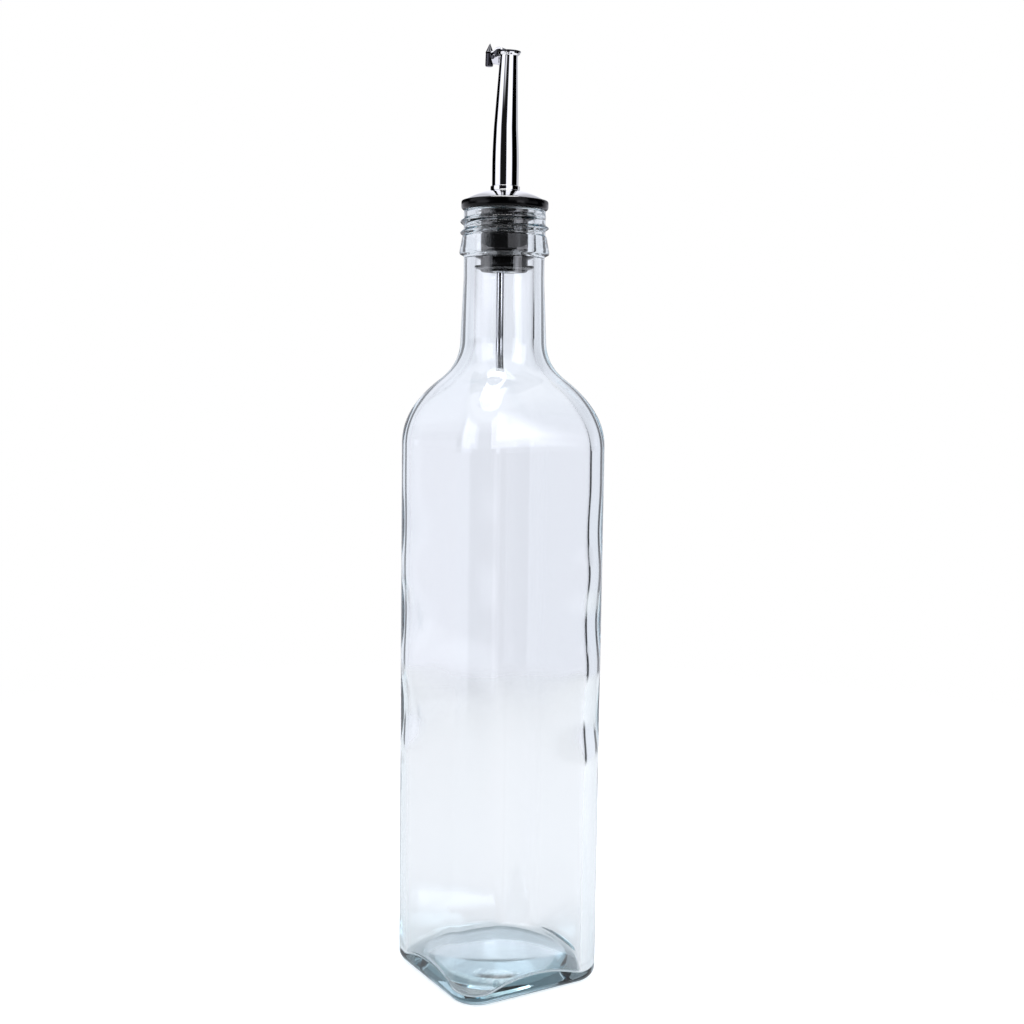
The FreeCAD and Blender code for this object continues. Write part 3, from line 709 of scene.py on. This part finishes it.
def round_the_set(tree, direction, stops):
    """Brightness of the set in a direction, from stops of azimuth and brightness."""
    turned = add(tree, "ShaderNodeVectorRotate", {"rotation_type": "Z_AXIS"}, Vector=direction,
                 Angle=CAMERA_TURN)
    axes = add(tree, "ShaderNodeSeparateXYZ", Vector=turned.outputs[0])
    toward = add(tree, "ShaderNodeMath", {"operation": "MULTIPLY"}, _0=axes.outputs[1], _1=-1.0)
    azimuth = add(tree, "ShaderNodeMath", {"operation": "ARCTAN2"}, _0=axes.outputs[0],
                  _1=toward.outputs[0])
    share = add(tree, "ShaderNodeMapRange", Value=azimuth.outputs[0], From_Min=-math.pi, From_Max=math.pi)
    node = add(tree, "ShaderNodeValToRGB", _0=share.outputs[0])
    ramp = node.color_ramp
    while len(ramp.elements) < len(stops):
        ramp.elements.new(1.0)
    for element, (degrees, value) in zip(ramp.elements, stops):
        element.position = (degrees + 180) / 360
        element.color = light(value, SET_WHITE)
    return node.outputs[0]


def mix(tree, factor, first, second):
    """Colour between two colours."""
    return add(tree, "ShaderNodeMix", {"data_type": "RGBA"}, _0=factor, _6=first, _7=second).outputs[2]


def above(tree, height, low, high):
    """Share from 0 to 1 as a height, or a sine of elevation, climbs from low to high."""
    return add(tree, "ShaderNodeMapRange", {"interpolation_type": "SMOOTHSTEP"}, Value=height,
               From_Min=low, From_Max=high).outputs[0]


world = bpy.data.worlds.new("studio")
bpy.context.scene.world = world
world.use_nodes = True
world.cycles.sampling_method = "NONE"
tree = world.node_tree
tree.nodes.clear()
ray = add(tree, "ShaderNodeTexCoord").outputs["Generated"]
climb = add(tree, "ShaderNodeSeparateXYZ", Vector=ray).outputs[2]
path = add(tree, "ShaderNodeLightPath")
mirrored = add(tree, "ShaderNodeMath", {"operation": "MAXIMUM"}, _0=path.outputs["Is Glossy Ray"],
               _1=path.outputs["Is Transmission Ray"])
around = round_the_set(tree, ray, BELOW_STOPS)
for zone, seen in ((HORIZON_ZONE, round_the_set(tree, ray, LOW_STOPS)),
                   (UPPER_ZONE, round_the_set(tree, ray, HIGH_STOPS)),
                   (CEILING_ZONE, light(0.9)), (BRIGHT_CEILING_ZONE, light(1.2)),
                   (OVERHEAD_LAMP_ZONE, light(5.0))):
    around = mix(tree, above(tree, climb, *zone), around, seen)
straight = add(tree, "ShaderNodeMath", {"operation": "LESS_THAN"}, _0=path.outputs["Glossy Depth"], _1=0.5)
around = mix(tree, straight.outputs[0], around, light(1.05, SET_WHITE))
tone = mix(tree, path.outputs["Is Camera Ray"], light(0.75), light(1.0))
tone = mix(tree, mirrored.outputs[0], tone, around)
sky = add(tree, "ShaderNodeBackground", Color=tone, Strength=1.0)
add(tree, "ShaderNodeOutputWorld", Surface=sky.outputs[0])

# Striped cuff
# A paper cuff stood round the spout, out of the camera's sight, as is done for polished metal: white
# with black stripes, which the steel shows as crisp dark lines. Its white is a painted glow in place of
# lit paper, and it takes no part in the lighting.
# Higher up a white slit opens in the front stripe, and above its white part the glow is dimmed.
CUFF_STOPS = [(-180, 1.2), (-168, 1.1), (-160, 0.6), (-156, 0.8), (-150, 0.0), (-94, 0.0), (-90, 1.3),
              (-48, 1.3), (-42, 0.01), (7, 0.01), (10, 1.3), (54, 1.3), (58, 0.0), (114, 0.0), (119, 0.9),
              (140, 0.5), (160, 0.6), (168, 1.1), (180, 1.2)]
SLIT = [(-38, 0.01), (-34, 0.9), (-22, 0.9), (-18, 0.01)]
SLIT_STOPS = sorted(CUFF_STOPS + SLIT)
SLIT_FROM = 314 * MM
SLIT_TO = 334 * MM
CUFF = 60 * MM
CUFF_BOTTOM = 276 * MM
CUFF_WHITE_TOP = 348 * MM
CUFF_DIM_FROM = 356 * MM
CUFF_TOP = 430 * MM
cuff = mesh_piece("striped_cuff", turned_rings([(CUFF, CUFF_BOTTOM), (CUFF, CUFF_TOP)]))
cuff_material, tree, out, place = new_material("striped_glowing_cuff")
height = add(tree, "ShaderNodeSeparateXYZ", Vector=place).outputs[2]
dimmed = add(tree, "ShaderNodeMapRange", {"interpolation_type": "SMOOTHSTEP"}, Value=height,
             From_Min=CUFF_WHITE_TOP, From_Max=CUFF_DIM_FROM, To_Min=1.0, To_Max=0.3)
slit = above(tree, height, SLIT_FROM, SLIT_TO)
cuff_glow = mix(tree, slit, round_the_set(tree, place, CUFF_STOPS), round_the_set(tree, place, SLIT_STOPS))
# Painted glow: the cuff shines by itself, in place of paper lit by the studio.
stripes = add(tree, "ShaderNodeEmission", Color=cuff_glow, Strength=dimmed.outputs[0])
tree.links.new(stripes.outputs[0], out.inputs["Surface"])
cuff.data.materials.append(cuff_material)
cuff.visible_camera = False
cuff.visible_diffuse = False
cuff.visible_transmission = False
cuff.visible_shadow = False

# Light paths and picture
# Enough bounces for light to find its way through the walls and out of the thick base, and colours
# shown as they are written.
BOUNCES = 40
cycles = bpy.context.scene.cycles
cycles.max_bounces = BOUNCES
cycles.transmission_bounces = BOUNCES
cycles.glossy_bounces = BOUNCES
view_settings = bpy.context.scene.view_settings
view_settings.view_transform = "Standard"
